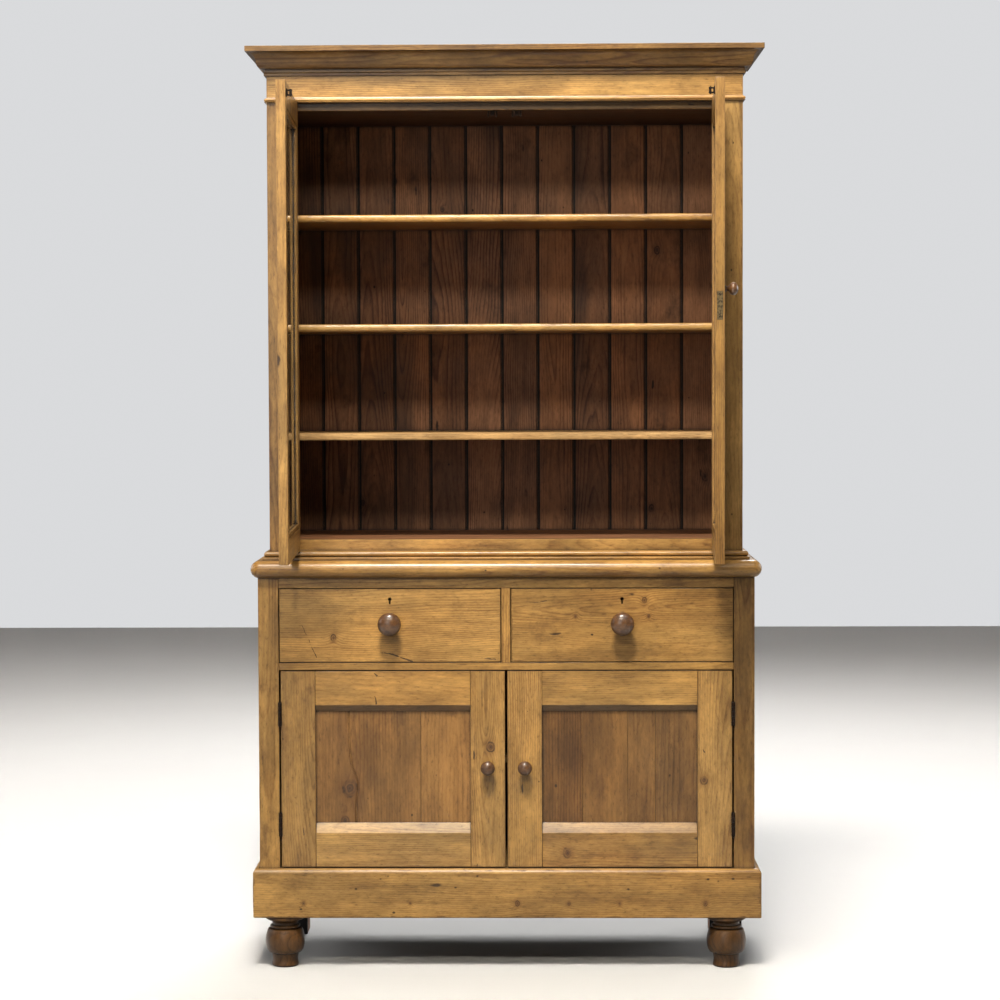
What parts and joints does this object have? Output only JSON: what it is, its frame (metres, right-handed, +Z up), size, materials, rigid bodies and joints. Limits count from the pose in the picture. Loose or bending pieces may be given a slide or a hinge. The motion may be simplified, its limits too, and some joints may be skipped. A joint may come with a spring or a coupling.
{
  "type": "glazed pantry cabinet",
  "caption": "Two-part waxed pine cabinet: shelved upper case with open glazed doors, on a base with drawers over panelled doors, a plinth and turned feet.",
  "frame": {"origin": "on the floor, under the middle of the box round the cabinet with its upper doors open; this is close to the plane of the base's front", "axes": "+Z up, front faces -Y, +X to the right seen from the front"},
  "size_m": [1.248, 0.9786, 2.24],
  "materials": {
    "pine_front": "waxed honey pine, worn satin",
    "pine_side": "waxed pine boards, satin",
    "pine_raw": "dry unwaxed pine",
    "pine_dark": "dark aged pine, dull",
    "knob_wood": "turned red-brown wood, polished",
    "iron": "dark aged iron",
    "brass": "dull aged brass",
    "glass": "clear old sheet glass"
  },
  "bodies": {
    "case": {"front_feet": "pine_front", "rear_feet": "pine_dark", "corner_blocks": "pine_dark", "plinth": "pine_front", "base_sides": "pine_side", "base_stiles": "pine_front", "base_rails": "pine_front", "drawer_divider": "pine_front", "drawer_runners": "pine_raw", "drawer_guides": "pine_raw", "base_floor": "pine_raw", "base_shelf": "pine_raw", "base_bearers": "pine_raw", "base_back_boards": "pine_dark", "door_stops": "pine_raw", "base_top": "pine_front", "waist_moulding": "pine_front", "case_sides": "pine_side", "case_stiles": "pine_front", "case_sill_rail": "pine_front", "case_head_rail": "pine_front", "case_floor": "pine_dark", "case_ceiling": "pine_dark", "case_back_boards": "pine_dark", "frieze": "pine_front", "astragal": "pine_front", "cornice": "pine_front", "cornice_blocks": "pine_raw", "shelf_top": "pine_front", "shelf_middle": "pine_front", "shelf_bottom": "pine_raw", "shelf_bearers": "pine_dark", "case_hinges": "iron", "catch_keepers": "iron"},
    "upper_left_door": {"left_sash_stiles": "pine_front", "left_sash_rails": "pine_front", "left_sash_glass": "glass", "left_sash_beads": "pine_front", "left_sash_fittings": "iron"},
    "upper_right_door": {"right_sash_stiles": "pine_front", "right_sash_rails": "pine_front", "right_sash_glass": "glass", "right_sash_beads": "pine_front", "right_sash_fittings": "iron", "right_sash_knob": "knob_wood", "right_sash_lock": "brass"},
    "lower_left_door": {"left_door_frame": "pine_front", "left_door_panel": "pine_front", "left_door_knob": "knob_wood", "left_door_hinges": "iron"},
    "lower_right_door": {"right_door_frame": "pine_front", "right_door_panel": "pine_front", "right_door_knob": "knob_wood", "right_door_hinges": "iron"},
    "left_drawer": {"left_drawer_front": "pine_front", "left_drawer_box": "pine_raw", "left_drawer_knob": "knob_wood"},
    "right_drawer": {"right_drawer_front": "pine_front", "right_drawer_box": "pine_raw", "right_drawer_knob": "knob_wood"}
  },
  "joints": [
    {"name": "upper_left_hinge", "type": "hinge", "parent": "case", "child": "upper_left_door", "pos_m": [-0.5265, 0.03459, 0], "axis": [0, 0, -1], "range_deg": [-88, 82]},
    {"name": "upper_right_hinge", "type": "hinge", "parent": "case", "child": "upper_right_door", "pos_m": [0.5265, 0.03459, 0], "axis": [0, 0, 1], "range_deg": [-87, 83]},
    {"name": "lower_left_hinge", "type": "hinge", "parent": "case", "child": "lower_left_door", "pos_m": [-0.551, 0.00459, 0], "axis": [0, 0, -1], "range_deg": [0, 170]},
    {"name": "lower_right_hinge", "type": "hinge", "parent": "case", "child": "lower_right_door", "pos_m": [0.551, 0.00459, 0], "axis": [0, 0, 1], "range_deg": [0, 170]},
    {"name": "left_drawer_slide", "type": "slide", "parent": "case", "child": "left_drawer", "axis": [0, -1, 0], "range_m": [0, 0.33]},
    {"name": "right_drawer_slide", "type": "slide", "parent": "case", "child": "right_drawer", "axis": [0, -1, 0], "range_m": [0, 0.33]}
  ]
}
